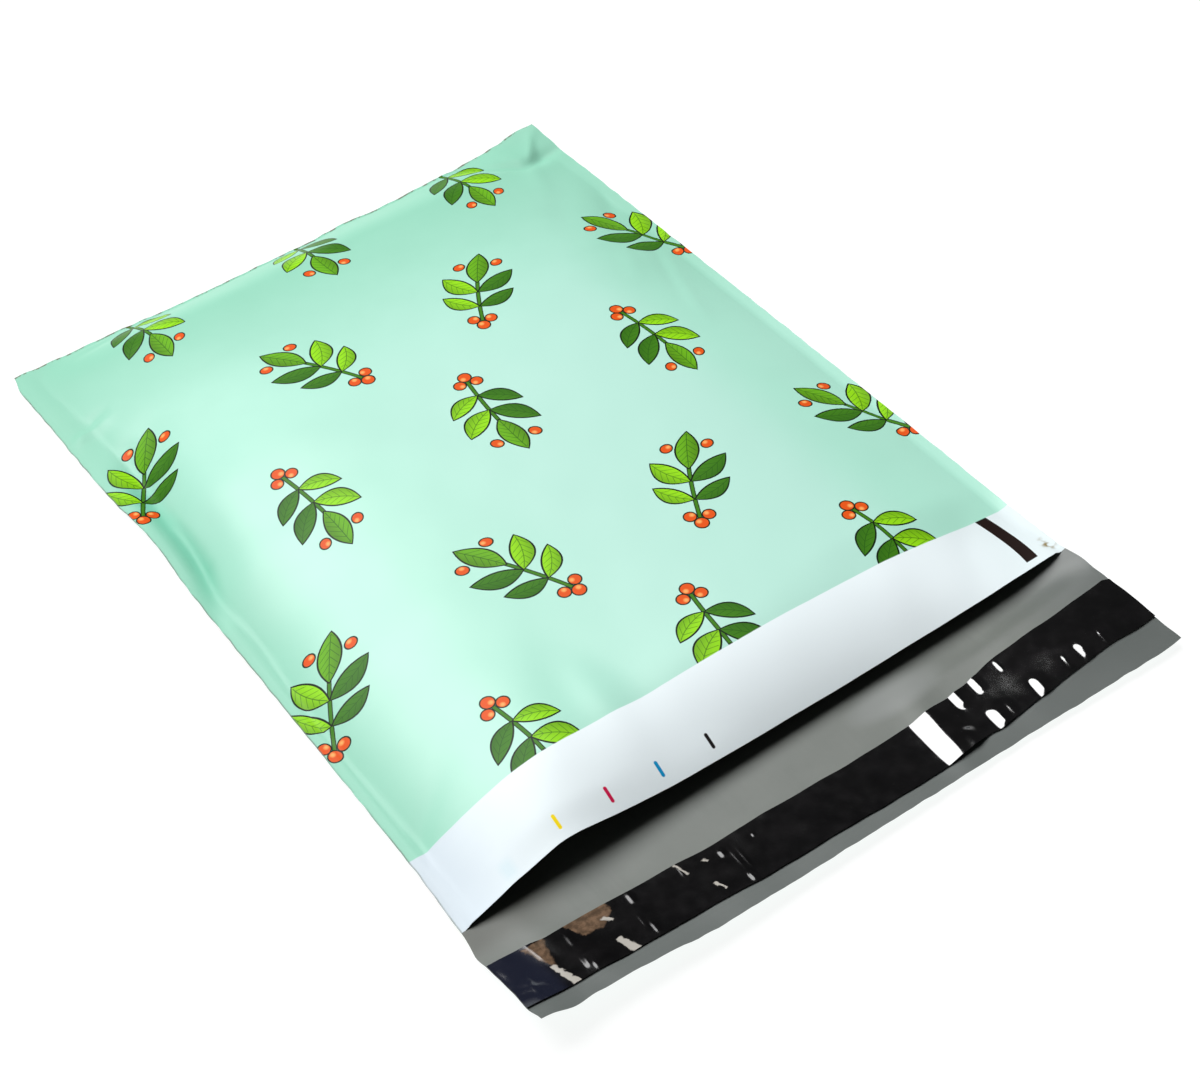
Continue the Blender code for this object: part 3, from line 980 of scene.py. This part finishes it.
gx = spaced(-HALF + GLUE_INSET, (HALF - GLUE_INSET, 2.0))
low_edge, high_edge = liner_edges(gx)
gw = low_edge + 3.2 + (high_edge - low_edge - 7.0) * np.linspace(0, 1, 12)[:, None]
glue = make_strip(
    "glue_strip",
    gx,
    gw,
    lambda x, w: back_height(x, w) + FILM + 0.05,
    GLUE_THICK,
    adhesive(),
)
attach(glue, "root")
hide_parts("adhesive_strip")

# ---------------------------------------------------------------- set


def plane(name, size, z, material):
    mesh = bpy.data.meshes.new(name)
    h = size / 2
    mesh.from_pydata([(-h, -h, z), (h, -h, z), (h, h, z), (-h, h, z)], [], [(0, 1, 2, 3)])
    mesh.materials.append(material)
    obj = bpy.data.objects.new(name, mesh)
    scene.collection.objects.link(obj)
    return obj


g = Graph("floor")
g.shader.inputs["Base Color"].default_value = (0.15, 0.15, 0.15, 1)
g.shader.inputs["Emission Color"].default_value = (1, 1, 1, 1)
g.shader.inputs["Emission Strength"].default_value = 0.89  # a lit white table
g.shader.inputs["Roughness"].default_value = 0.8
g.shader.inputs["Specular IOR Level"].default_value = 0.1
plane("floor", 24.0, -0.0003, g.material)


def area_light(name, at, look_at, size, power, glossy=True, diffuse=True, colour=(1, 1, 1)):
    data = bpy.data.lights.new(name, "AREA")
    data.shape = "RECTANGLE"
    data.size, data.size_y = size
    data.energy = power
    data.color = colour
    obj = bpy.data.objects.new(name, data)
    obj.location = at
    obj.rotation_euler = (Vector(look_at) - Vector(at)).to_track_quat("-Z", "Y").to_euler()
    obj.visible_glossy = glossy
    obj.visible_diffuse = diffuse
    scene.collection.objects.link(obj)
    return obj


# One large softbox above and behind the bag, and a trace of light from all
# round
KEY_AZIMUTH, KEY_ELEVATION, KEY_FAR, KEY_RADIANCE = -16.0, 61.0, 4.0, 7.6
KEY_WIDE, KEY_TALL = (2 * KEY_FAR * math.tan(math.radians(a)) for a in (24.0, 20.0))
az, el = math.radians(KEY_AZIMUTH), math.radians(KEY_ELEVATION)
key_at = KEY_FAR * Vector((math.sin(az) * math.cos(el), math.cos(az) * math.cos(el), math.sin(el)))
power = KEY_RADIANCE * math.pi * KEY_WIDE * KEY_TALL
area_light("key", key_at, (0, 0, 0), (KEY_WIDE, KEY_TALL), power)

world = bpy.data.worlds.new("studio")
world.use_nodes = True
tree = world.node_tree
background = tree.nodes["Background"]
coords = tree.nodes.new("ShaderNodeTexCoord")
parts = tree.nodes.new("ShaderNodeSeparateXYZ")
tree.links.new(coords.outputs["Generated"], parts.inputs[0])
span = tree.nodes.new("ShaderNodeMapRange")
span.interpolation_type = "SMOOTHSTEP"
span.inputs["From Min"].default_value = 0.02
span.inputs["From Max"].default_value = 0.25
tree.links.new(parts.outputs[2], span.inputs["Value"])
mixed = tree.nodes.new("ShaderNodeMix")
mixed.data_type = "RGBA"
mixed.inputs[6].default_value = (0.7, 0.7, 0.7, 1)
mixed.inputs[7].default_value = (0.03, 0.03, 0.03, 1)
tree.links.new(span.outputs["Result"], mixed.inputs[0])
tree.links.new(mixed.outputs[2], background.inputs["Color"])
scene.world = world

# Camera, solved from the bag's outline in the photograph
AZIMUTH, ELEVATION, ROLL = (math.radians(a) for a in (31.87, 45.73, -4.89))
OFFSET = (-0.02073, 0.01340, 0.81012)
ahead = Vector(
    (
        math.sin(AZIMUTH) * math.cos(ELEVATION),
        math.cos(AZIMUTH) * math.cos(ELEVATION),
        -math.sin(ELEVATION),
    )
)
level = Vector((math.cos(AZIMUTH), -math.sin(AZIMUTH), 0))
above = level.cross(ahead)
right = math.cos(ROLL) * level + math.sin(ROLL) * above
top = -math.sin(ROLL) * level + math.cos(ROLL) * above
place = -(OFFSET[0] * right + OFFSET[1] * top + OFFSET[2] * ahead)
data = bpy.data.cameras.new("camera")
data.sensor_width = 36.0
data.sensor_fit = "HORIZONTAL"
data.lens = 36.0 * 2202 / 1200
data.clip_start, data.clip_end = 0.01, 100
camera = bpy.data.objects.new("camera", data)
camera.matrix_world = Matrix(
    (
        (right[0], top[0], -ahead[0], place[0]),
        (right[1], top[1], -ahead[1], place[1]),
        (right[2], top[2], -ahead[2], place[2]),
        (0, 0, 0, 1),
    )
)
scene.collection.objects.link(camera)
scene.camera = camera
